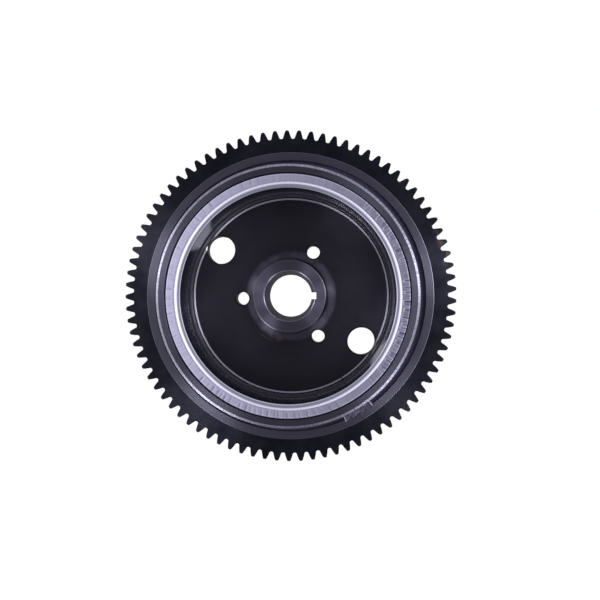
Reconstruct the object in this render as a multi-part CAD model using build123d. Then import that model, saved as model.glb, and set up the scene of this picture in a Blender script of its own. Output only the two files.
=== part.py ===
from build123d import *
import os
from math import acos, asin, cos, pi, radians, sin, sqrt, tan

# Magneto flywheel of a small engine: a forged steel rotor with a tapered, keyed hub and a cup that
# holds twelve ferrite magnets, a starter ring gear shrunk on behind the cup, and an ignition pad.
# Frame: Z is the crankshaft axis. The open, engine side of the cup faces +Z, the closed side faces
# down and lies on z = 0. The keyway points along +X. Millimetres.

# ---- Ring gear teeth (standard involute, module 2.25) ----
TEETH = 85
MODULE = 2.25
PRESSURE_ANGLE = radians(20)
DEDENDUM = 1.35 * MODULE
TOOTH_THINNING = 0.25          # backlash, taken off the tooth's thickness at the pitch circle
FIRST_TOOTH_ANGLE = 2.45       # degrees from the keyway to the first tooth's centre
PITCH_R = MODULE * TEETH / 2
TIP_R = PITCH_R + MODULE
ROOT_R = PITCH_R - DEDENDUM
BASE_R = PITCH_R * cos(PRESSURE_ANGLE)
TIP_CROWN = 0.22               # the tips are crowned: the flanks end this far below the tip circle
FLANK_FOOT = 0.55              # the flanks end this far above the root circle, in a round root
FLANK_POINTS = 4
TOOTH_LEAD_IN = 1.3            # 45 degree lead-in on the side that the starter pinion enters
TOOTH_BACK_BREAK = 0.5

# ---- Heights up the axis ----
GEAR_BACK_Z = 6.0
GEAR_FRONT_Z = 17.0
FLANGE_BACK_Z = 5.0
FLANGE_FRONT_Z = 20.0
FLANGE_GROOVE_Z = 15.5
WEB_BACK_Z = 1.2
WEB_FRONT_Z = 12.0
RELIEF_Z = 10.0                # floor of the groove that the magnet cage stands in
MAGNET_Z = 20.0                # foot of the magnets, on top of the cage's ring
MAGNET_TOP_Z = 47.4
RIM_Z = 49.4
HUB_FACE_Z = 35.0
NUT_SEAT_Z = 15.5

# ---- Rotor radii ----
SEAT_R = 82.0                  # the ring gear's shrink fit
LIP_R = 84.05                  # lip that the ring gear is pressed up against
LIP_EDGE_BREAK = 0.2
GROOVE_OUTER_R = 79.2
CUP_OUTER_R = 72.5
CUP_INNER_R = 67.6
RIM_CHAMFER = 1.5
RIM_INNER_CHAMFER = 0.2
PLATEAU_R = 58.2               # edge of the flat floor inside the cup
PLATEAU_RIDGE_R = 57.1         # inner edge of the low turned ridge that rounds the floor off
PLATEAU_RIDGE = 0.12           # its height
HUB_R = 20.8
HUB_FOOT_FILLET = 2.0
HUB_EDGE_CHAMFER = 0.3
HUB_SKIRT_R = 26.9             # shallow cone that runs from the floor up to the hub's foot
HUB_SKIRT_RISE = 0.8
REAR_LAND_INNER_R = 61.0
REAR_LAND_OUTER_R = 71.0
REAR_BOSS_R = 38.0
EDGE_BREAK = 0.5

# ---- Tapered bore, keyway and nut recess ----
TAPER = 1 / 5                  # change of diameter per unit of length
BORE_SMALL_R = 12.3            # at the nut seat
BORE_MOUTH_CHAMFER = 0.4
NUT_RECESS_R = 17.5
KEY_WIDTH = 4.0                # 4 mm Woodruff key
KEY_REACH = 15.2               # keyway's floor, from the axis

# ---- Holes ----
PULLER_COUNT = 3
PULLER_PCD = 58.3
PULLER_R = 3.9                 # 3/8-16 minor diameter, modelled plain
PULLER_ANGLE = 63.3
WINDOW_PCD = 100.0
WINDOW_R = 8.3
WINDOW_ANGLES = (146.9, 326.9)
HOLE_CHAMFER = 0.5
BALANCE_ANGLES = (98.0, 110.0, 122.0)
BALANCE_PCD = 151.0
BALANCE_R = 3.5
BALANCE_DEPTH = 4.0

# ---- Ignition pad and index mark ----
PAD_ANGLE = 301.2
PAD_SPAN = 13.1                # degrees
PAD_HEIGHT = 3.5
PAD_TOP_Z = 47.9
PAD_LENGTH = 14.5
PAD_EDGE = 0.8
MARK_WIDTH = 0.5
MARK_DEPTH = 0.6
MARK_LENGTH = 2.6

# ---- Magnets, cage and cover ----
POLES = 12
POLE_ANGLE = 360 / POLES
RIB_ANGLE = 3.0
MAGNET_INNER_R = 59.8
MAGNET_OUTER_R = 67.5
MAGNET_EDGE = 1.2              # broken inner top edge, under the cover's bend
CAGE_INNER_R = 58.6
CAGE_EDGE = 0.15
COVER_SHEET = 0.5
COVER_INNER_R = 59.3
COVER_BEND_R = 5.0             # roll between the flange and the sleeve
COVER_BEND_START = radians(7)  # slope at which the flange breaks into the roll
COVER_BEND_END = radians(50)   # slope at which the roll breaks into the sleeve
COVER_FLANGE_R = 67.05
COVER_FLANGE_Z = 49.1


def on_circle(radius, degrees):
    """The point at that radius and angle, as (x, y)."""
    return radius * cos(radians(degrees)), radius * sin(radians(degrees))


def turned(points):
    """A solid of revolution about Z, from a closed outline of (radius, z) points."""
    outline = Polyline(*[(r, 0, z) for r, z in points], close=True)
    return revolve(make_face(outline), Axis.Z)


def ring(inner, outer, low, high):
    """A plain ring about Z."""
    return turned([(inner, low), (outer, low), (outer, high), (inner, high)])


def wedge(angle, span, reach, low, high):
    """A sector of a disc about Z, centred on angle and span degrees wide (under 180)."""
    far = reach / cos(radians(span / 2))
    corners = [(0, 0), on_circle(far, angle - span / 2), on_circle(far, angle + span / 2)]
    face = make_face(Polyline(*corners, close=True))
    return Pos(0, 0, low) * extrude(face, high - low)


def drilled(radius, pcd, angle, low, high, chamfer=HOLE_CHAMFER):
    """A cutter for a through hole between two faces, with both of its edges broken."""
    shape = turned([
        (0, low - 1), (radius + chamfer + 1, low - 1), (radius, low + chamfer),
        (radius, high - chamfer), (radius + chamfer + 1, high + 1), (0, high + 1),
    ])
    x, y = on_circle(pcd / 2, angle)
    return Pos(x, y, 0) * shape


def involute(angle):
    return tan(angle) - angle


def flank_half_angle(radius):
    """Half the angle that a tooth takes up at that radius."""
    thickness = pi * MODULE / 2 - TOOTH_THINNING
    at_pitch = thickness / (2 * PITCH_R)
    return at_pitch + involute(PRESSURE_ANGLE) - involute(acos(BASE_R / radius))


def tooth_edges(centre):
    """One tooth's two flanks and tip, and the round root that follows it, for a centre in radians."""
    low, high = ROOT_R + FLANK_FOOT, TIP_R - TIP_CROWN
    radii = [low + (high - low) * i / (FLANK_POINTS - 1) for i in range(FLANK_POINTS)]

    def at(radius, angle):
        return radius * cos(angle), radius * sin(angle)

    right = [at(r, centre - flank_half_angle(r)) for r in radii]
    left = [at(r, centre + flank_half_angle(r)) for r in reversed(radii)]
    pitch = 2 * pi / TEETH
    next_foot = at(low, centre + pitch - flank_half_angle(low))
    return [
        Spline(*right),
        ThreePointArc(right[-1], at(TIP_R, centre), left[0]),
        Spline(*left),
        ThreePointArc(left[-1], at(ROOT_R, centre + pitch / 2), next_foot),
    ]


def ring_gear():
    edges = []
    for i in range(TEETH):
        edges += tooth_edges(radians(FIRST_TOOTH_ANGLE) + 2 * pi * i / TEETH)
    outline = make_face(Wire(edges))
    blank = Pos(0, 0, GEAR_BACK_Z) * extrude(outline, GEAR_FRONT_Z - GEAR_BACK_Z)
    bevelled = turned([
        (SEAT_R, GEAR_BACK_Z + EDGE_BREAK), (SEAT_R + EDGE_BREAK, GEAR_BACK_Z),
        (TIP_R - TOOTH_BACK_BREAK, GEAR_BACK_Z), (TIP_R + 0.5, GEAR_BACK_Z + TOOTH_BACK_BREAK + 0.5),
        (TIP_R + 0.5, GEAR_FRONT_Z - TOOTH_LEAD_IN - 0.5), (TIP_R - TOOTH_LEAD_IN, GEAR_FRONT_Z),
        (SEAT_R, GEAR_FRONT_Z),
    ])
    return blank & bevelled


def hub_and_web_outline():
    """Half section of the rotor forging, going round from the taper's small end."""
    taper_top = HUB_FACE_Z - BORE_MOUTH_CHAMFER
    mouth_r = BORE_SMALL_R + (taper_top - NUT_SEAT_Z) * TAPER / 2
    skirt_top_z = WEB_FRONT_Z + HUB_SKIRT_RISE
    fillet_top = (HUB_R, skirt_top_z + HUB_FOOT_FILLET)
    fillet_foot = (HUB_R + HUB_FOOT_FILLET, skirt_top_z)
    middle = HUB_FOOT_FILLET * (1 - 1 / sqrt(2))
    points = [
        (BORE_SMALL_R, NUT_SEAT_Z), (mouth_r, taper_top), (mouth_r + BORE_MOUTH_CHAMFER, HUB_FACE_Z),
        (HUB_R - HUB_EDGE_CHAMFER, HUB_FACE_Z), (HUB_R, HUB_FACE_Z - HUB_EDGE_CHAMFER), fillet_top,
    ]
    up_to_fillet = Polyline(*[(r, 0, z) for r, z in points])
    fillet_points = [fillet_top, (HUB_R + middle, skirt_top_z + middle), fillet_foot]
    fillet = ThreePointArc(*[(r, 0, z) for r, z in fillet_points])
    rest = [
        fillet_foot, (HUB_SKIRT_R, WEB_FRONT_Z),
        # cup floor, the ridge round its edge, and the relief under the cage
        (PLATEAU_RIDGE_R, WEB_FRONT_Z), (PLATEAU_RIDGE_R + PLATEAU_RIDGE, WEB_FRONT_Z + PLATEAU_RIDGE),
        (PLATEAU_R - PLATEAU_RIDGE, WEB_FRONT_Z + PLATEAU_RIDGE), (PLATEAU_R, WEB_FRONT_Z),
        (PLATEAU_R, RELIEF_Z), (CUP_INNER_R, RELIEF_Z),
        # cup wall
        (CUP_INNER_R, RIM_Z - RIM_INNER_CHAMFER), (CUP_INNER_R + RIM_INNER_CHAMFER, RIM_Z),
        (CUP_OUTER_R - RIM_CHAMFER, RIM_Z), (CUP_OUTER_R, RIM_Z - RIM_CHAMFER),
        (CUP_OUTER_R, FLANGE_GROOVE_Z + 1), (CUP_OUTER_R + 1, FLANGE_GROOVE_Z),
        # groove, flange and lip
        (GROOVE_OUTER_R - 1, FLANGE_GROOVE_Z), (GROOVE_OUTER_R, FLANGE_GROOVE_Z + 1),
        (GROOVE_OUTER_R, FLANGE_FRONT_Z - LIP_EDGE_BREAK),
        (GROOVE_OUTER_R + LIP_EDGE_BREAK, FLANGE_FRONT_Z),
        (LIP_R - LIP_EDGE_BREAK, FLANGE_FRONT_Z), (LIP_R, FLANGE_FRONT_Z - LIP_EDGE_BREAK),
        (LIP_R, GEAR_FRONT_Z), (SEAT_R, GEAR_FRONT_Z),
        (SEAT_R, FLANGE_BACK_Z + EDGE_BREAK), (SEAT_R - EDGE_BREAK, FLANGE_BACK_Z),
        # closed side: step, outer land, recess, boss and nut recess
        (REAR_LAND_OUTER_R + 1.5, FLANGE_BACK_Z), (REAR_LAND_OUTER_R, FLANGE_BACK_Z - 1.5),
        (REAR_LAND_OUTER_R, EDGE_BREAK), (REAR_LAND_OUTER_R - EDGE_BREAK, 0),
        (REAR_LAND_INNER_R, 0), (REAR_LAND_INNER_R - WEB_BACK_Z, WEB_BACK_Z),
        (REAR_BOSS_R + WEB_BACK_Z, WEB_BACK_Z), (REAR_BOSS_R, 0),
        (NUT_RECESS_R + EDGE_BREAK, 0), (NUT_RECESS_R, EDGE_BREAK),
        (NUT_RECESS_R, NUT_SEAT_Z), (BORE_SMALL_R, NUT_SEAT_Z),
    ]
    back_round = Polyline(*[(r, 0, z) for r, z in rest])
    return make_face(Wire([*up_to_fillet.edges(), *fillet.edges(), *back_round.edges()]))


def keyway():
    """Cutter for the slot, from the axis out to the keyway's floor."""
    height = HUB_FACE_Z + 2
    return Box(KEY_REACH, KEY_WIDTH, height, align=(Align.MIN, Align.CENTER, Align.MIN))


def index_mark():
    """Cutter for the line across the floor's edge, in line with the pad's middle."""
    line = Box(MARK_LENGTH + 1, MARK_WIDTH, 2 * MARK_DEPTH)
    middle = PLATEAU_R + 1 - (MARK_LENGTH + 1) / 2
    return Rot(0, 0, PAD_ANGLE) * Pos(middle, 0, WEB_FRONT_Z) * line


def balance_hole(angle):
    """Cutter for a blind drilling with a 118 degree point, from the flange's rear face."""
    point = BALANCE_R / tan(radians(59))
    shape = turned([
        (0, FLANGE_BACK_Z - 1), (BALANCE_R, FLANGE_BACK_Z - 1),
        (BALANCE_R, FLANGE_BACK_Z + BALANCE_DEPTH), (0, FLANGE_BACK_Z + BALANCE_DEPTH + point),
    ])
    x, y = on_circle(BALANCE_PCD / 2, angle)
    return Pos(x, y, 0) * shape


def rotor_body():
    body = revolve(hub_and_web_outline(), Axis.Z)
    body -= keyway()
    for i in range(PULLER_COUNT):
        angle = PULLER_ANGLE + i * 360 / PULLER_COUNT
        body -= drilled(PULLER_R, PULLER_PCD, angle, 0, WEB_FRONT_Z)
    for angle in WINDOW_ANGLES:
        body -= drilled(WINDOW_R, WINDOW_PCD, angle, WEB_BACK_Z, WEB_FRONT_Z)
    for angle in BALANCE_ANGLES:
        body -= balance_hole(angle)
    return body - index_mark()


def ignition_pad():
    """Raised block welded to the cup's wall, that passes the pickup coil."""
    outer = CUP_OUTER_R + PAD_HEIGHT
    low = PAD_TOP_Z - PAD_LENGTH
    block = turned([
        (CUP_OUTER_R, low), (outer - PAD_EDGE, low), (outer, low + PAD_EDGE),
        (outer, PAD_TOP_Z - PAD_EDGE), (outer - PAD_EDGE, PAD_TOP_Z), (CUP_OUTER_R, PAD_TOP_Z),
    ])
    block &= wedge(PAD_ANGLE, PAD_SPAN, outer + 5, low, PAD_TOP_Z)
    ends = block.edges().filter_by(Axis.Z, reverse=True).filter_by(GeomType.LINE)
    front_ends = [e for e in ends if e.center().Z > PAD_TOP_Z - 0.01]
    return chamfer(front_ends, PAD_EDGE)


def magnet(index):
    """One arc magnet, between two ribs of the cage."""
    span = POLE_ANGLE - RIB_ANGLE
    body = ring(MAGNET_INNER_R, MAGNET_OUTER_R, MAGNET_Z, MAGNET_TOP_Z)
    body -= magnet_inner_edge()
    return body & wedge(index * POLE_ANGLE, span, MAGNET_OUTER_R + 5, MAGNET_Z, MAGNET_TOP_Z)


def magnet_inner_edge():
    """Cutter for the broken inner top edge, which leaves room for the cover's bend."""
    return turned([
        (MAGNET_INNER_R - 1, MAGNET_TOP_Z - MAGNET_EDGE), (MAGNET_INNER_R, MAGNET_TOP_Z - MAGNET_EDGE),
        (MAGNET_INNER_R + MAGNET_EDGE, MAGNET_TOP_Z), (MAGNET_INNER_R + MAGNET_EDGE, MAGNET_TOP_Z + 1),
        (MAGNET_INNER_R - 1, MAGNET_TOP_Z + 1),
    ])


def magnet_cage():
    """Moulded ring that the magnets stand on, with a rib up between each two of them."""
    cage = turned([
        (CAGE_INNER_R, RELIEF_Z), (MAGNET_OUTER_R, RELIEF_Z), (MAGNET_OUTER_R, MAGNET_Z),
        (CAGE_INNER_R + CAGE_EDGE, MAGNET_Z), (CAGE_INNER_R, MAGNET_Z - CAGE_EDGE),
    ])
    rib_ring = ring(MAGNET_INNER_R, MAGNET_OUTER_R, MAGNET_Z - 1, MAGNET_TOP_Z) - magnet_inner_edge()
    for i in range(POLES):
        angle = (i + 0.5) * POLE_ANGLE
        cage += rib_ring & wedge(angle, RIB_ANGLE, MAGNET_OUTER_R + 5, MAGNET_Z - 1, MAGNET_TOP_Z)
    return cage


def magnet_cover():
    """Stainless sheet pressed in over the magnets: a sleeve that rolls out into a flat flange."""
    flange_start_r = COVER_INNER_R + COVER_BEND_R * (sin(COVER_BEND_END) - sin(COVER_BEND_START))
    centre_r = flange_start_r + COVER_BEND_R * sin(COVER_BEND_START)
    centre_z = COVER_FLANGE_Z - COVER_BEND_R * cos(COVER_BEND_START)
    back_r = COVER_BEND_R - COVER_SHEET
    sleeve_back_r = COVER_INNER_R + COVER_SHEET
    flange_back_z = COVER_FLANGE_Z - COVER_SHEET

    def roll(radius, start, end):
        angles = start, (start + end) / 2, end
        return [(centre_r - radius * sin(a), 0, centre_z + radius * cos(a)) for a in angles]

    front = roll(COVER_BEND_R, COVER_BEND_START, COVER_BEND_END)
    back = roll(back_r, asin((centre_r - sleeve_back_r) / back_r), acos((flange_back_z - centre_z) / back_r))
    sleeve = [front[2], (COVER_INNER_R, 0, MAGNET_Z), (sleeve_back_r, 0, MAGNET_Z), back[0]]
    flange = [back[2], (COVER_FLANGE_R, 0, flange_back_z), (COVER_FLANGE_R, 0, COVER_FLANGE_Z), front[0]]
    section = [
        ThreePointArc(*front), *Polyline(*sleeve).edges(), ThreePointArc(*back), *Polyline(*flange).edges(),
    ]
    return revolve(make_face(Wire(section)), Axis.Z)


def main():
    nodes = {
        "rotor_body": rotor_body(),
        "ring_gear": ring_gear(),
        "ignition_pad": ignition_pad(),
        "magnet_cage": magnet_cage(),
        "magnet_cover": magnet_cover(),
    }
    for i in range(POLES):
        nodes[f"magnet_{i + 1:02d}"] = magnet(i)
    os.makedirs("parts", exist_ok=True)
    for name, shape in nodes.items():
        export_step(shape, f"parts/{name}.step")


main()
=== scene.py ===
import math
import random

import bpy
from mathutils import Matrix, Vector


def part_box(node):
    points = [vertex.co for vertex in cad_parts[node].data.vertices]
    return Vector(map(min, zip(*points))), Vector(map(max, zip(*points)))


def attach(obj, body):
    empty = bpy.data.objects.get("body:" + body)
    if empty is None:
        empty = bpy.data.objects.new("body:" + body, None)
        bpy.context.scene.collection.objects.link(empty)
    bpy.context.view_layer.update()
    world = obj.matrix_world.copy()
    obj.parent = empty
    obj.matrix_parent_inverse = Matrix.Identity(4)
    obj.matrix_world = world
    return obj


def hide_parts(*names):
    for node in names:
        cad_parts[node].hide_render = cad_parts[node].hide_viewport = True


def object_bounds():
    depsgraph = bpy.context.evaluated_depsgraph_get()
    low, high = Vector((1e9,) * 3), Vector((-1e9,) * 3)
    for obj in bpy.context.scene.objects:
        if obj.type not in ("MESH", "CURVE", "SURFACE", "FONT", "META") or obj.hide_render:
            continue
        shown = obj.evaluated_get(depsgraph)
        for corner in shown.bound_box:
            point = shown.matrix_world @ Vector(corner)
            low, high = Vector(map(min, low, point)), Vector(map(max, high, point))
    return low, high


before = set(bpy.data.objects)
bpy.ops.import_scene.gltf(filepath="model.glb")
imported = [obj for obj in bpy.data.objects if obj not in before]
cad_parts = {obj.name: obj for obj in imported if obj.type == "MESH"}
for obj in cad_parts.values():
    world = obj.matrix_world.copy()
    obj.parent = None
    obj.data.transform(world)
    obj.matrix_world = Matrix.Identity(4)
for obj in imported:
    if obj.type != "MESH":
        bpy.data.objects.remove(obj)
cad_low, cad_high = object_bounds()

# A magneto flywheel lying with its cup open upwards. Z is the crankshaft axis, +X points to the keyway.
# Lengths are in metres, angles in degrees counted from +X towards +Y.
MM = 0.001

GEAR_FACE_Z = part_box("ring_gear")[1].z
RIM_Z = cad_high.z
COVER_LOW, COVER_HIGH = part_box("magnet_cover")
COVER_FLANGE_R = COVER_HIGH.x

# ---- Places on the rotor where one finish gives way to the next, at the sizes of the CAD part ----
BORE_MOUTH_R = 14.61 * MM
HUB_FACE_Z = 35.0 * MM
HUB_R = 20.8 * MM
HUB_SKIRT_R = 26.9 * MM
SCRATCH_R = 29.2 * MM
FLOOR_Z = 12.0 * MM
RIDGE_INNER_R = 57.1 * MM
FLOOR_R = 58.2 * MM
CUP_INNER_R = 67.6 * MM
RIM_FLAT_R = 71.0 * MM
CUP_OUTER_R = 72.5 * MM
LIP_Z = 20.0 * MM
GROOVE_OUTER_R = 79.2 * MM
LIP_R = 84.05 * MM
# Outside this radius, near the roots of its teeth, the gear has grime.
GRIME_R = 92.0 * MM
CAGE_LEDGE_R = 58.7 * MM
CAGE_LEDGE_Z = 20.0 * MM
# Where round the cup the ignition pad's two bevelled ends lie.
PAD_ENDS = (294.65, 307.75)

# ---- The cover's section: a sleeve, a corner, a roll outwards and a flat flange with a rounded edge ----
COVER_INNER_R = 59.3 * MM
COVER_BEND_R = 5.0 * MM
COVER_BEND_START, COVER_BEND_END = 7, 50
COVER_CORNER_R = 0.4 * MM
COVER_EDGE_R = 0.3 * MM
COVER_SHEET = 0.5 * MM
COVER_BEND_CENTRE_R = COVER_INNER_R + COVER_BEND_R * math.sin(math.radians(COVER_BEND_END))
FLANGE_START_R = COVER_BEND_CENTRE_R - COVER_BEND_R * math.sin(math.radians(COVER_BEND_START))


# ======================================================================= node graphs
class Graph:
    """A material's or a world's node tree, with short calls for the nodes that the finishes share."""

    def __init__(self, tree):
        self.tree = tree
        tree.nodes.clear()

    def add(self, kind, settings=None, **inputs):
        node = self.tree.nodes.new(kind)
        for name, value in (settings or {}).items():
            setattr(node, name, value)
        for name, value in inputs.items():
            self.feed(node.inputs[name.replace("_", " ")], value)
        return node

    def feed(self, socket, value):
        if isinstance(value, bpy.types.NodeSocket):
            self.tree.links.new(value, socket)
        else:
            socket.default_value = value

    def math(self, operation, *values):
        node = self.tree.nodes.new("ShaderNodeMath")
        node.operation = operation
        for socket, value in zip(node.inputs, values):
            self.feed(socket, value)
        return node.outputs[0]

    def total(self, *values):
        result = values[0]
        for value in values[1:]:
            result = self.math("ADD", result, value)
        return result

    def times(self, *values):
        result = values[0]
        for value in values[1:]:
            result = self.math("MULTIPLY", result, value)
        return result

    def either(self, *masks):
        result = masks[0]
        for mask in masks[1:]:
            result = self.math("MAXIMUM", result, mask)
        return result

    def step(self, value, edge, soft):
        """0 well below the edge, 1 well above it."""
        node = self.add("ShaderNodeMapRange", {"interpolation_type": "SMOOTHSTEP"})
        for socket, given in zip(node.inputs, (value, edge - soft, edge + soft, 0.0, 1.0)):
            self.feed(socket, given)
        return node.outputs[0]

    def below(self, value, edge, soft):
        """1 well below the edge, 0 well above it."""
        return self.math("SUBTRACT", 1.0, self.step(value, edge, soft))

    def band(self, value, low, high, soft):
        """1 between low and high, 0 outside."""
        return self.times(self.step(value, low, soft), self.below(value, high, soft))

    def stretch(self, value, low, high):
        """Maps 0 to 1 onto low to high."""
        return self.math("MULTIPLY_ADD", value, high - low, low)

    def mix(self, amount, first, second):
        node = self.tree.nodes.new("ShaderNodeMix")
        node.data_type = "RGBA"
        self.feed(node.inputs[0], amount)
        self.feed(node.inputs[6], first)
        self.feed(node.inputs[7], second)
        return node.outputs[2]

    def vector(self, x, y, z):
        node = self.tree.nodes.new("ShaderNodeCombineXYZ")
        for socket, value in zip(node.inputs, (x, y, z)):
            self.feed(socket, value)
        return node.outputs[0]

    def noise(self, vector, scale=1.0, detail=2.0, roughness=0.5):
        node = self.add("ShaderNodeTexNoise", Vector=vector, Scale=scale, Detail=detail,
                        Roughness=roughness)
        return node.outputs[0]

    def contrast(self, value, low, high):
        """Stretches a noise so that low becomes 0 and high becomes 1, cut off at both."""
        node = self.add("ShaderNodeMapRange", {"clamp": True})
        for socket, given in zip(node.inputs, (value, low, high, 0.0, 1.0)):
            self.feed(socket, given)
        return node.outputs[0]


class Finish(Graph):
    """A steel, resin or magnet finish, laid out in the turned part's own radius, angle and height."""

    def __init__(self, name):
        self.material = bpy.data.materials.new(name)
        self.material.use_nodes = True
        super().__init__(self.material.node_tree)
        self.shader = self.add("ShaderNodeBsdfPrincipled")
        output = self.add("ShaderNodeOutputMaterial")
        self.tree.links.new(self.shader.outputs[0], output.inputs[0])
        self.place = self.add("ShaderNodeTexCoord").outputs["Object"]
        split = self.add("ShaderNodeSeparateXYZ", Vector=self.place)
        self.x, self.y, self.z = split.outputs
        self.radius = self.math("SQRT", self.total(self.times(self.x, self.x), self.times(self.y, self.y)))
        self.cos = self.math("DIVIDE", self.x, self.radius)
        self.sin = self.math("DIVIDE", self.y, self.radius)

    def across(self, degrees, spread):
        """1 towards that angle, fading to 0 at spread degrees to either side."""
        a = math.radians(degrees)
        facing = self.total(self.times(self.cos, math.cos(a)), self.times(self.sin, math.sin(a)))
        limit = math.cos(math.radians(spread))
        return self.step(facing, (1 + limit) / 2, (1 - limit) / 2)

    def rings(self, spacing):
        """A noise of fine circles about the axis, on faces and walls alike, as a lathe tool leaves them."""
        out = self.times(self.radius, 1 / spacing)
        up = self.times(self.z, 1 / spacing)
        return self.noise(self.vector(self.times(self.cos, RING_DRIFT), self.times(self.sin, RING_DRIFT),
                                      self.total(out, up)), detail=3.0, roughness=0.65)

    def spokes(self, per_radian, drift=40.0):
        """A noise of fine lines pointing away from the axis."""
        return self.noise(self.vector(self.times(self.cos, per_radian), self.times(self.sin, per_radian),
                                      self.times(self.radius, drift)), detail=2.0, roughness=0.6)

    def bump(self, height, distance, under=None):
        node = self.add("ShaderNodeBump", Height=height, Distance=distance, Strength=1.0)
        if under is not None:
            self.tree.links.new(under, node.inputs["Normal"])
        return node.outputs[0]

    def turned(self, amount):
        """Gloss drawn out across the lathe's rings."""
        tangent = self.add("ShaderNodeTangent", {"direction_type": "RADIAL", "axis": "Z"})
        self.tree.links.new(tangent.outputs[0], self.shader.inputs["Tangent"])
        self.set(Anisotropic=amount)
        self.shader.inputs["Anisotropic Rotation"].default_value = QUARTER_TURN

    def shaded(self, colour, shade):
        """The colour, darkened or lightened by a factor."""
        node = self.add("ShaderNodeMix", {"data_type": "RGBA", "blend_type": "MULTIPLY"})
        node.inputs[0].default_value = 1.0
        self.feed(node.inputs[6], colour)
        self.feed(node.inputs[7], self.vector(shade, shade, shade))
        return node.outputs[2]

    def set(self, **inputs):
        for name, value in inputs.items():
            self.feed(self.shader.inputs[name.replace("_", " ")], value)


# ======================================================================= finishes
# How much one lathe ring differs from place to place round the axis.
RING_DRIFT = 1.5
QUARTER_TURN = 0.25

BLACK_OXIDE = (0.026, 0.0245, 0.031, 1)
WORN_OXIDE = (0.054, 0.052, 0.067, 1)
LAND_OXIDE = (0.070, 0.068, 0.086, 1)
# Painted light for the groove, paler than the oxide round it.
GROOVE_PAINTED_LIGHT = (0.085, 0.080, 0.130, 1)
BARE_STEEL = (0.50, 0.49, 0.56, 1)
SCUFF_BROWN = (0.085, 0.070, 0.060, 1)
GEAR_OXIDE = (0.010, 0.010, 0.015, 1)
GEAR_OXIDE_PALE = (0.022, 0.022, 0.029, 1)
GEAR_GRIME = (0.05, 0.041, 0.034, 1)
PAD_OXIDE = (0.034, 0.030, 0.047, 1)
PAD_OXIDE_PALE = (0.098, 0.090, 0.135, 1)
PAD_BEVEL = (0.42, 0.41, 0.50, 1)
COVER_STEEL = (0.50, 0.495, 0.57, 1)
# Painted highlight on the cover's roll.
COVER_ROLL_HIGHLIGHT = (0.76, 0.755, 0.86, 1)
# Painted shade on the cover's sleeve.
COVER_SLEEVE_SHADE = (0.19, 0.19, 0.265, 1)
COVER_FLANGE = (0.40, 0.391, 0.485, 1)
COVER_FLANGE_PALE = (0.465, 0.456, 0.56, 1)
# Painted shade in the cover's creases.
COVER_CREASE_SHADE = (0.07, 0.066, 0.10, 1)
CAGE_RESIN = (0.016, 0.016, 0.02, 1)
# Painted highlight on the cage's ledge.
CAGE_LEDGE_HIGHLIGHT = (0.15, 0.15, 0.18, 1)
FERRITE = (0.045, 0.045, 0.05, 1)
FERRITE_PALE = (0.085, 0.085, 0.09, 1)


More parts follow.
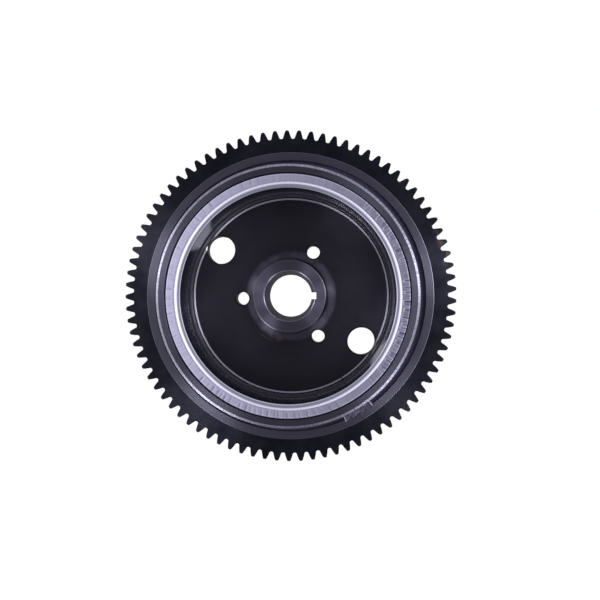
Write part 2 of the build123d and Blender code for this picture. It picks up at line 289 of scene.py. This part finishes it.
def rotor_finish():
    """Black oxide over turned steel, thinner on the machined faces and gone from the sharp edges, with
    painted highlights on one side of some edges and round the hub's foot, and painted light in the groove.
    """
    f = Finish("black_oxide_rotor")
    r, z = f.radius, f.z

    # the faces that were turned last, the land outside the groove, and the groove itself, which is painted
    # paler: painted light in a recess
    hub_face = f.times(f.step(z, HUB_FACE_Z - 0.3 * MM, 0.2 * MM),
                       f.band(r, BORE_MOUTH_R, HUB_R + MM, 0.1 * MM))
    end_face = f.times(f.step(z, RIM_Z - 0.1 * MM, 0.08 * MM),
                       f.band(r, CUP_INNER_R, RIM_FLAT_R, 0.1 * MM))
    closed_side = f.below(z, 0.3 * MM, 0.2 * MM)
    machined = f.either(hub_face, end_face, closed_side)
    land = f.times(f.step(z, LIP_Z - 0.3 * MM, 0.1 * MM),
                   f.band(r, GROOVE_OUTER_R, LIP_R + MM, 0.1 * MM))
    groove = f.times(f.band(r, CUP_OUTER_R - 0.1 * MM, GROOVE_OUTER_R + 0.1 * MM, 0.1 * MM),
                     f.band(z, LIP_Z - 6.0 * MM, LIP_Z - 0.5 * MM, 0.4 * MM))

    # edges and chamfers where the oxide is gone; the hub's, the lip's and the ridge's edges are painted
    # brighter mostly on one side, a painted highlight where the light falls on them
    rim_chamfer = f.times(f.step(z, RIM_Z - 1.55 * MM, 0.05 * MM), f.step(r, RIM_FLAT_R, 0.05 * MM))
    ridge = f.times(f.band(r, RIDGE_INNER_R, FLOOR_R + 0.1 * MM, 0.05 * MM),
                    f.band(z, FLOOR_Z - 0.5 * MM, FLOOR_Z + 1.0 * MM, 0.1 * MM))
    mouth_chamfer = f.times(f.step(z, HUB_FACE_Z - 0.65 * MM, 0.05 * MM),
                            f.below(r, BORE_MOUTH_R, 0.05 * MM))
    hub_edge = f.times(f.step(z, HUB_FACE_Z - 0.6 * MM, 0.1 * MM),
                       f.band(r, HUB_R - 0.65 * MM, HUB_R + MM, 0.05 * MM))
    lip_edge = f.times(f.step(z, LIP_Z - 0.25 * MM, 0.05 * MM), f.step(r, LIP_R - 0.25 * MM, 0.05 * MM))
    hub_edge_highlight = f.stretch(f.either(f.across(17, 32), f.across(225, 30)), 0.06, 0.3)
    lip_edge_highlight = f.stretch(f.across(2, 55), 0.2, 0.7)
    ridge_highlight = f.stretch(f.across(190, 150), 0.62, 1.0)
    bare_and_highlight = f.either(rim_chamfer, f.times(ridge, ridge_highlight), f.times(mouth_chamfer, 0.6),
                    f.times(hub_edge, hub_edge_highlight), f.times(lip_edge, lip_edge_highlight))

    # a band round the hub's foot is painted paler and broken up by noise, a painted highlight where the
    # cone catches the light; the cone is also scuffed brown on one side
    floor = f.band(z, FLOOR_Z - 0.5 * MM, FLOOR_Z + 3.0 * MM, 0.3 * MM)
    skirt_highlight = f.times(floor, f.band(r, HUB_R + 1.5 * MM, HUB_SKIRT_R - 0.6 * MM, 1.4 * MM))
    scuff_and_sheen = f.contrast(f.noise(f.place, scale=190.0, detail=5.0, roughness=0.65), 0.42, 0.62)
    scuff = f.times(floor, f.across(247, 22),
                    f.band(r, HUB_SKIRT_R - 1.0 * MM, HUB_SKIRT_R + 1.3 * MM, 1.5 * MM), scuff_and_sheen, 0.8)
    scratch = f.times(floor, f.across(239, 14),
                      f.band(r, SCRATCH_R - 0.1 * MM, SCRATCH_R + 0.1 * MM, 0.08 * MM))

    # cloudy oxide, fine and coarse lathe rings, and tool chatter across the chamfer, denser in three places
    clouds = f.noise(f.place, scale=55.0, detail=4.0)
    fine = f.rings(0.35 * MM)
    coarse = f.rings(1.6 * MM)
    chatter = f.contrast(f.spokes(110.0, drift=500.0), 0.35, 0.65)
    comb = f.times(f.either(f.across(165, 24), f.across(14, 24), f.across(308, 24)),
                   f.contrast(f.spokes(48.0, drift=150.0), 0.5, 0.62))

    colour = f.mix(machined, BLACK_OXIDE, WORN_OXIDE)
    colour = f.mix(land, colour, LAND_OXIDE)
    # painted highlight on the cone round the hub's foot
    colour = f.mix(f.times(skirt_highlight, f.stretch(scuff_and_sheen, 0.5, 1.0)), colour, LAND_OXIDE)
    # the groove is painted paler and less metallic than the oxide round it: painted light in a recess
    colour = f.mix(groove, colour, GROOVE_PAINTED_LIGHT)
    colour = f.mix(f.either(scuff, scratch), colour, SCUFF_BROWN)
    # steel on worn edges and chamfers, with painted highlights on one side of the hub's, lip's and ridge's
    # edges
    colour = f.mix(bare_and_highlight, colour, BARE_STEEL)
    shade = f.stretch(f.total(f.times(clouds, 0.5), f.times(fine, 0.3), f.times(coarse, 0.2)), 0.55, 1.45)
    shade = f.times(shade, f.stretch(f.times(rim_chamfer, f.either(chatter, comb)), 1.0, 0.5))
    colour = f.shaded(colour, shade)
    roughness = f.total(f.times(bare_and_highlight, 0.04), f.times(end_face, 0.05), f.stretch(clouds, 0.29, 0.37))

    normal = f.bump(fine, 0.006 * MM, under=f.bump(coarse, 0.02 * MM))
    f.set(Base_Color=colour, Metallic=f.stretch(groove, 1.0, 0.35), Roughness=roughness, Normal=normal)
    f.turned(0.95)
    return f.material


def gear_finish():
    """Blacker oxide over blotchy steel, with brown grime on the teeth at one place."""
    f = Finish("black_oxide_gear")
    clouds = f.noise(f.place, scale=70.0, detail=5.0, roughness=0.6)
    fine = f.rings(0.3 * MM)
    colour = f.mix(f.contrast(clouds, 0.35, 0.7), GEAR_OXIDE, GEAR_OXIDE_PALE)
    grime = f.times(f.across(17, 10), f.step(f.radius, GRIME_R, 2.0 * MM),
                    f.contrast(f.noise(f.place, scale=260.0, detail=3.0), 0.5, 0.62))
    colour = f.mix(grime, colour, GEAR_GRIME)
    normal = f.bump(clouds, 0.04 * MM, under=f.bump(fine, 0.01 * MM))
    f.set(Base_Color=colour, Metallic=1.0, Roughness=f.stretch(clouds, 0.3, 0.5), Normal=normal)
    f.turned(0.9)
    return f.material


def pad_finish():
    """Black oxide over a rough face, pitted and specked, with the bevelled ends rubbed bright."""
    f = Finish("black_oxide_pad")
    blotches = f.noise(f.place, scale=420.0, detail=4.0, roughness=0.65)
    specks = f.contrast(f.noise(f.place, scale=1500.0, detail=2.0), 0.62, 0.7)
    colour = f.mix(f.contrast(blotches, 0.4, 0.68), PAD_OXIDE, PAD_OXIDE_PALE)
    colour = f.mix(f.times(specks, 0.4), colour, BARE_STEEL)
    for end in PAD_ENDS:
        a = math.radians(end)
        aside = f.math("ABSOLUTE", f.total(f.times(f.y, math.cos(a)), f.times(f.x, -math.sin(a))))
        bevel = f.below(aside, 0.45 * MM, 0.15 * MM)
        colour = f.mix(f.times(bevel, f.stretch(blotches, 0.3, 1.0)), colour, PAD_BEVEL)
    normal = f.bump(blotches, 0.07 * MM)
    f.set(Base_Color=colour, Metallic=1.0, Roughness=0.38, Normal=normal)
    return f.material


def cover_finish():
    """Pressed stainless sheet: the roll painted bright as a painted highlight, the sleeve painted dark as
    painted shade, a duller streaked flange, and painted shade in the creases.
    """
    f = Finish("stainless_cover")
    streaks = f.contrast(f.spokes(75.0), 0.35, 0.65)
    fine = f.spokes(190.0)
    broad = f.spokes(14.0, drift=8.0)
    crease = f.add("ShaderNodeAttribute", {"attribute_name": CREASE}).outputs["Fac"]
    flange = f.step(f.radius, FLANGE_START_R + 0.15 * MM, 0.25 * MM)
    roll = f.band(f.radius, COVER_INNER_R + 1.8 * MM, FLANGE_START_R + 0.15 * MM, 0.3 * MM)
    sleeve = f.below(f.z, COVER_HIGH.z - 2.6 * MM, 0.4 * MM)
    # the roll is painted bright: a painted highlight
    colour = f.mix(roll, COVER_STEEL, COVER_ROLL_HIGHLIGHT)
    # the sleeve is painted dark: painted shade
    colour = f.mix(sleeve, colour, COVER_SLEEVE_SHADE)
    colour = f.mix(flange, colour, f.mix(streaks, COVER_FLANGE, COVER_FLANGE_PALE))
    # painted shade in the creases
    colour = f.mix(crease, colour, COVER_CREASE_SHADE)
    f.set(Base_Color=colour, Metallic=1.0,
          Roughness=f.total(f.stretch(fine, 0.12, 0.18), f.times(broad, 0.05), f.times(roll, 0.04)),
          Normal=f.bump(streaks, 0.004 * MM))
    return f.material


def cage_finish():
    """Black resin, with a narrow ledge inside the cover's foot painted paler, most of all on one side: a
    painted highlight.
    """
    f = Finish("black_resin_cage")
    grain = f.noise(f.place, scale=900.0, detail=3.0)
    ledge = f.times(f.step(f.z, CAGE_LEDGE_Z - 0.2 * MM, 0.05 * MM),
                    f.below(f.radius, CAGE_LEDGE_R + 0.1 * MM, 0.05 * MM))
    # the ledge is painted paler, most of all on one side: a painted highlight
    colour = f.mix(f.times(ledge, f.stretch(f.across(190, 80), 0.1, 0.7)), CAGE_RESIN, CAGE_LEDGE_HIGHLIGHT)
    f.set(Base_Color=colour, Roughness=f.stretch(grain, 0.25, 0.4), Normal=f.bump(grain, 0.01 * MM))
    return f.material


def magnet_finish():
    """Grey ferrite, dull and grainy."""
    f = Finish("ground_ferrite")
    grain = f.noise(f.place, scale=1400.0, detail=4.0)
    colour = f.mix(grain, FERRITE, FERRITE_PALE)
    f.set(Base_Color=colour, Roughness=0.55, Normal=f.bump(grain, 0.02 * MM))
    return f.material


# ======================================================================= the cover
CREASE = "crease"
# How many points the sheet has round the axis.
AROUND = 1400
# From where to where the flange has creased, the usual gap between two creases, and how deep they are.
CREASED = ((-40, -4, 1.5, 1.0), (-4, 48, 2.1, 0.85), (222, 292, 3.2, 0.5), (100, 215, 7.0, 0.28))
# How far the sheet dips where a crease is of full depth, and how deep creases that meet may get.
CREASE_DIP = 0.12 * MM
DEEPEST = 1.2
CREASE_SEED = 7


def arc(centre, radius, start, end, steps):
    """Points of an arc in the section's plane. Angles count from straight up, towards the axis."""
    points = []
    for i in range(steps + 1):
        a = math.radians(start + (end - start) * i / steps)
        points.append((centre[0] - radius * math.sin(a), centre[1] + radius * math.cos(a)))
    return points


def cover_section():
    """The sheet's open side as (radius, height) pairs, from its foot to the flange's rounded edge."""
    foot, top = COVER_LOW.z, COVER_HIGH.z
    bend = (COVER_BEND_CENTRE_R, top - COVER_BEND_R * math.cos(math.radians(COVER_BEND_START)))
    corner_depth = COVER_CORNER_R * math.tan(math.radians((90 - COVER_BEND_END) / 2))
    roll_end = arc(bend, COVER_BEND_R, COVER_BEND_END, COVER_BEND_END, 1)[0]
    sleeve_top = roll_end[1] - corner_depth
    line = [(COVER_INNER_R, foot + (sleeve_top - foot) * i / 4) for i in range(4)]
    line += arc((COVER_INNER_R + COVER_CORNER_R, sleeve_top), COVER_CORNER_R, 90, COVER_BEND_END, 4)
    line += arc(bend, COVER_BEND_R, COVER_BEND_END - 4, COVER_BEND_START, 12)
    edge_start = COVER_FLANGE_R - COVER_EDGE_R
    line += [(FLANGE_START_R + (edge_start - FLANGE_START_R) * i / 8, top) for i in range(1, 8)]
    line += arc((edge_start, top - COVER_EDGE_R), COVER_EDGE_R, 0, -90, 5)
    return line


def creases():
    """Each crease: its place and width in degrees, its depth, and how far out on the flange it starts."""
    rng = random.Random(CREASE_SEED)
    found = []
    for low, high, gap, depth in CREASED:
        place = low
        while place < high:
            place += gap * rng.uniform(0.45, 1.7)
            width = rng.uniform(0.3, 0.6)
            deep = depth * rng.uniform(0.35, 1.0)
            start = rng.uniform(0.0, 0.25)
            found.append((place, width, deep, start))
    return found


def crease_depths(section):
    """How deep the sheet is creased at each point of the section and each place round the axis."""
    flange = COVER_FLANGE_R - FLANGE_START_R
    depth = [[0.0] * AROUND for _ in section]
    for place, width, deep, start in creases():
        middle = place / 360 * AROUND
        reach = width / 360 * AROUND
        for j in range(int(middle - 3 * reach) - 1, int(middle + 3 * reach) + 2):
            across = deep * math.exp(-(((j - middle) / reach) ** 2))
            for k, (r, z) in enumerate(section):
                along = ((r - FLANGE_START_R) / flange - start) / 0.15
                if z > COVER_HIGH.z - COVER_EDGE_R - 0.01 * MM:
                    depth[k][j % AROUND] += across * min(max(along, 0), 1)
    return depth


def build_cover():
    """The sheet again, finely divided, with the small creases that rolling its flange out has left."""
    section = cover_section()
    rows = len(section)
    depth = crease_depths(section)
    verts, faces, crease = [], [], []
    for back in (0, 1):
        for k, (r, z) in enumerate(section):
            before, after = section[max(k - 1, 0)], section[min(k + 1, rows - 1)]
            run, rise = after[0] - before[0], after[1] - before[1]
            length = math.hypot(run, rise)
            if back:
                r, z = r + rise / length * COVER_SHEET, z - run / length * COVER_SHEET
                r = min(r, COVER_FLANGE_R - 0.02 * MM)
            for j in range(AROUND):
                a = 2 * math.pi * j / AROUND
                dip = CREASE_DIP * min(depth[k][j], DEEPEST)
                verts.append((r * math.cos(a), r * math.sin(a), z - dip))
                crease.append(min(depth[k][j], 1.0))

    def at(side, k, j):
        return (side * rows + k) * AROUND + j % AROUND

    edge = rows - 1
    for j in range(AROUND):
        for k in range(edge):
            faces.append((at(0, k, j), at(0, k + 1, j), at(0, k + 1, j + 1), at(0, k, j + 1)))
            faces.append((at(1, k, j), at(1, k, j + 1), at(1, k + 1, j + 1), at(1, k + 1, j)))
        faces.append((at(0, 0, j), at(0, 0, j + 1), at(1, 0, j + 1), at(1, 0, j)))
        faces.append((at(0, edge, j), at(1, edge, j), at(1, edge, j + 1), at(0, edge, j + 1)))
    mesh = bpy.data.meshes.new("magnet_cover_sheet")
    mesh.from_pydata(verts, [], faces)
    mesh.attributes.new(CREASE, "FLOAT", "POINT").data.foreach_set("value", crease)
    mesh.update()
    sheet = bpy.data.objects.new("magnet_cover_sheet", mesh)
    bpy.context.scene.collection.objects.link(sheet)
    for polygon in mesh.polygons:
        polygon.use_smooth = True
    mesh.set_sharp_from_angle(angle=math.radians(50))
    sheet.data.materials.append(cover_finish())
    return sheet


# ======================================================================= stage, light and camera
# The floor is square and lies just below the part, inside the dome. Both are a little over white.
FLOOR_HALF_WIDTH = 3.0
FLOOR_GAP = 0.2 * MM
DOME_R = 6.0
WHITENESS = 1.02


def seen_by_camera_alone(thing):
    thing.visible_diffuse = False
    thing.visible_glossy = False
    thing.visible_shadow = False


def build_floor():
    """An evenly white floor that is clear from below."""
    mesh = bpy.data.meshes.new("studio_floor")
    side, level = FLOOR_HALF_WIDTH, cad_low.z - FLOOR_GAP
    corners = [(-side, -side, level), (side, -side, level), (side, side, level), (-side, side, level)]
    mesh.from_pydata(corners, [], [(0, 1, 2, 3)])
    floor = bpy.data.objects.new("studio_floor", mesh)
    bpy.context.scene.collection.objects.link(floor)
    material = bpy.data.materials.new("studio_white")
    material.use_nodes = True
    g = Graph(material.node_tree)
    white = g.add("ShaderNodeEmission", Color=(1, 1, 1, 1), Strength=WHITENESS)
    clear = g.add("ShaderNodeBsdfTransparent")
    underside = g.add("ShaderNodeNewGeometry").outputs["Backfacing"]
    both = g.tree.nodes.new("ShaderNodeMixShader")
    g.feed(both.inputs[0], underside)
    g.feed(both.inputs[1], white.outputs[0])
    g.feed(both.inputs[2], clear.outputs[0])
    output = g.add("ShaderNodeOutputMaterial")
    g.feed(output.inputs[0], both.outputs[0])
    mesh.materials.append(material)
    seen_by_camera_alone(floor)


def build_dome():
    """A backdrop of the same white, all round."""
    bpy.ops.mesh.primitive_ico_sphere_add(subdivisions=4, radius=DOME_R)
    dome = bpy.context.object
    dome.name = "studio_dome"
    material = bpy.data.materials.new("studio_dome_white")
    material.use_nodes = True
    g = Graph(material.node_tree)
    white = g.add("ShaderNodeEmission", Color=(1, 1, 1, 1), Strength=WHITENESS)
    output = g.add("ShaderNodeOutputMaterial")
    g.feed(output.inputs[0], white.outputs[0])
    dome.data.materials.append(material)
    seen_by_camera_alone(dome)
    dome.visible_transmission = False


# Azimuth, tightness and strength of the low soft light from each side.
SIDES = ((12, 12.0, 0.6), (165, 12.0, 0.6), (230, 14.0, 0.45), (313, 14.0, 0.7),
         (5, 3.0, 0.8), (190, 4.0, 1.1), (85, 1.8, 0.75))
# Azimuth and power of the lamps that stand round the bench and rake the dark steel.
LAMPS = ((12, 7.2), (165, 7.2), (230, 7.6), (313, 5.0))
LAMP_FROM_TOP, LAMP_DISTANCE, LAMP_RADIUS = 50, 1.2, 0.21
# Light by angle from straight up: a dim round patch where a camera hangs, a bright ring round it, little
# at the horizon, and the pale bench from below, which lights the walls of the holes.
OVERHEAD = ((0, 0.26), (5, 0.3), (9, 0.52), (14, 1.1), (24, 1.35), (34, 0.75),
            (50, 0.44), (75, 0.34), (90, 0.06), (115, 0.08), (130, 0.42), (180, 0.42))
# The bright ring, from and to these angles off straight up, is stronger to east and west than to north
# and south, and stronger still to the east.
RING_INNER, RING_OUTER = 12, 45
RING_LENGTHWAYS, RING_EAST = 0.36, 0.5
# The dim patch is darker towards the east.
PATCH_EDGE, PATCH_TILT = 17, -0.9
# The low light from the sides comes from between these angles off straight up.
SIDE_TOP, SIDE_BOTTOM = 74, 112
SKY_TINT = (0.93, 0.925, 1.06, 1)
LAMP_TINT = (0.95, 0.94, 1.06)


def build_light():
    """The soft sky that the steel reflects. East is the keyway's side."""
    world = bpy.data.worlds.new("soft_studio")
    bpy.context.scene.world = world
    world.use_nodes = True
    g = Graph(world.node_tree)
    direction = g.add("ShaderNodeTexCoord").outputs["Generated"]
    x, y, height = g.add("ShaderNodeSeparateXYZ", Vector=direction).outputs
    aside = g.math("MAXIMUM", g.math("SQRT", g.total(g.times(x, x), g.times(y, y))), 0.001)
    east, north = g.math("DIVIDE", x, aside), g.math("DIVIDE", y, aside)
    from_top = g.times(g.math("ARCCOSINE", height), 1 / math.pi)
    ramp = g.add("ShaderNodeValToRGB", Fac=from_top)
    ramp.color_ramp.interpolation = "EASE"
    points = ramp.color_ramp.elements
    while len(points) < len(OVERHEAD):
        points.new(0.5)
    brightest = max(value for _, value in OVERHEAD)
    for point, (angle, value) in zip(points, OVERHEAD):
        point.position = angle / 180
        point.color = (value / brightest,) * 3 + (1,)
    lengthways = g.math("SUBTRACT", g.times(east, east), g.times(north, north))
    eastward = g.math("MAXIMUM", east, 0.0)
    uneven = g.total(g.times(lengthways, RING_LENGTHWAYS), g.times(eastward, RING_EAST))
    ring = g.times(g.band(from_top, RING_INNER / 180, RING_OUTER / 180, 6 / 180), uneven)
    tilt = g.times(g.band(from_top, -1.0, PATCH_EDGE / 180, 3 / 180), x, PATCH_TILT)
    strength = g.total(g.times(ramp.outputs[0], brightest), ring, tilt)
    near_horizon = g.band(from_top, SIDE_TOP / 180, SIDE_BOTTOM / 180, 10 / 180)
    for azimuth, tightness, power in SIDES:
        a = math.radians(azimuth)
        facing = g.total(g.times(east, math.cos(a)), g.times(north, math.sin(a)))
        lobe = g.math("EXPONENT", g.times(g.math("SUBTRACT", facing, 1.0), tightness))
        strength = g.total(strength, g.times(lobe, near_horizon, power))
    sky = g.add("ShaderNodeBackground", Color=SKY_TINT, Strength=strength)
    output = g.add("ShaderNodeOutputWorld")
    g.feed(output.inputs[0], sky.outputs[0])


def build_lamps(lit):
    """Round lamps that light the dark steel alone."""
    dark_steel = bpy.data.collections.new("dark_steel")
    for name in lit:
        dark_steel.objects.link(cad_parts[name])
    for i, (azimuth, power) in enumerate(LAMPS):
        lamp = bpy.data.lights.new(f"lamp_{i + 1}", "AREA")
        lamp.shape = "DISK"
        lamp.size = 2 * LAMP_RADIUS
        lamp.energy = power
        lamp.color = LAMP_TINT
        place = bpy.data.objects.new(f"lamp_{i + 1}", lamp)
        a, e = math.radians(azimuth), math.radians(LAMP_FROM_TOP)
        towards = Vector((math.cos(a) * math.sin(e), math.sin(a) * math.sin(e), math.cos(e)))
        place.location = towards * LAMP_DISTANCE
        place.rotation_euler = towards.to_track_quat("Z", "Y").to_euler()
        bpy.context.scene.collection.objects.link(place)
        place.light_linking.receiver_collection = dark_steel


def build_camera():
    """Straight down on the open side, a little to the keyway's side of the hub, shifted to frame it."""
    above, aside, across = 431.5 * MM, 20.7 * MM, 2.6 * MM
    seen_width = 353.8 * MM
    axis_from_centre = (-5.35 * MM, 2.51 * MM)
    camera = bpy.data.cameras.new("camera")
    camera.sensor_width = 36.0
    camera.lens = camera.sensor_width * above / seen_width
    camera.shift_x = (-aside - axis_from_centre[0]) / seen_width
    camera.shift_y = (-across - axis_from_centre[1]) / seen_width
    camera.clip_start = 0.01
    place = bpy.data.objects.new("camera", camera)
    place.location = (aside, across, GEAR_FACE_Z + above)
    bpy.context.scene.collection.objects.link(place)
    bpy.context.scene.camera = place


# ======================================================================= assembly
def dress(node, material):
    """Gives a CAD node its finish."""
    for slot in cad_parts[node].material_slots:
        slot.material = material


build_camera()
build_light()
build_floor()
build_dome()
bpy.context.scene.view_settings.view_transform = "Standard"

dress("rotor_body", rotor_finish())
dress("ring_gear", gear_finish())
dress("ignition_pad", pad_finish())
dress("magnet_cage", cage_finish())
ferrite = magnet_finish()
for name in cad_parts:
    if name.startswith("magnet_") and name[-1].isdigit():
        dress(name, ferrite)

build_lamps(("rotor_body", "ring_gear", "ignition_pad"))

cover = build_cover()
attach(cover, "root")
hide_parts("magnet_cover")
